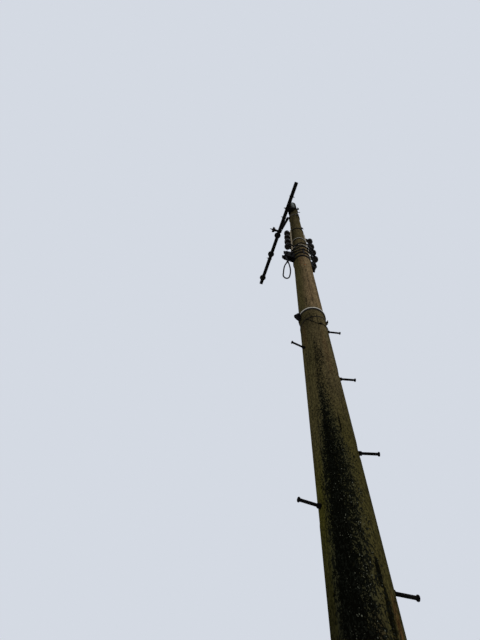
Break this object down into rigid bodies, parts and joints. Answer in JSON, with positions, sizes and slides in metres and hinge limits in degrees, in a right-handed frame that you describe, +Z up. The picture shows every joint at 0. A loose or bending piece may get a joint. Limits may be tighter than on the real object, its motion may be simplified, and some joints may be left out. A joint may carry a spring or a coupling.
{
  "type": "concrete utility pole",
  "caption": "Tapered spun-concrete utility pole with an offset steel crossarm on a tie bar, pin insulators, two spool racks on bands, jumper cables, a slack loop and step bolts.",
  "frame": {"origin": "centre of the pole's foot at ground level", "axes": "+Z up along the pole, +Y along the long side of the crossarm, +X away from the crossarm across the pole"},
  "size_m": [0.6953, 2.72, 12.136],
  "materials": {
    "concrete": "matte, stained",
    "galvanised_steel": "dull galvanised",
    "weathered_steel": "dull dark grey",
    "porcelain": "glazed dark brown",
    "cable_jacket": "satin black"
  },
  "bodies": {
    "root": {"pole_shaft": "concrete", "pole_cap": "galvanised_steel", "step_bolt_right_1": "weathered_steel", "step_bolt_right_2": "weathered_steel", "step_bolt_right_3": "weathered_steel", "step_bolt_right_4": "weathered_steel", "step_bolt_right_5": "weathered_steel", "step_bolt_left_1": "weathered_steel", "step_bolt_left_2": "weathered_steel", "step_bolt_left_3": "weathered_steel", "crossarm": "weathered_steel", "crossarm_saddle": "weathered_steel", "crossarm_bolts": "weathered_steel", "arm_tie": "weathered_steel", "arm_tie_band": "weathered_steel", "insulator_pins": "weathered_steel", "pin_insulator_1": "porcelain", "pin_insulator_2": "porcelain", "pin_insulator_3": "porcelain", "strain_fittings": "weathered_steel", "strain_insulator": "porcelain", "service_band": "weathered_steel", "left_rack": "galvanised_steel", "left_spool_1": "porcelain", "left_spool_2": "porcelain", "left_spool_3": "porcelain", "left_spool_4": "porcelain", "right_rack": "galvanised_steel", "right_spool_1": "porcelain", "right_spool_2": "porcelain", "right_spool_3": "porcelain", "right_spool_4": "porcelain", "rack_pins": "weathered_steel", "rack_band_top": "weathered_steel", "rack_band_middle": "galvanised_steel", "rack_band_bottom": "galvanised_steel", "left_cable_clamp": "weathered_steel", "right_cable_clamp": "weathered_steel", "jumper_cable_1": "cable_jacket", "jumper_cable_2": "cable_jacket", "jumper_cable_3": "cable_jacket", "slack_loop": "cable_jacket", "messenger_band_upper": "galvanised_steel", "messenger_band_lower": "weathered_steel", "messenger_bracket": "weathered_steel"}
  },
  "joints": []
}
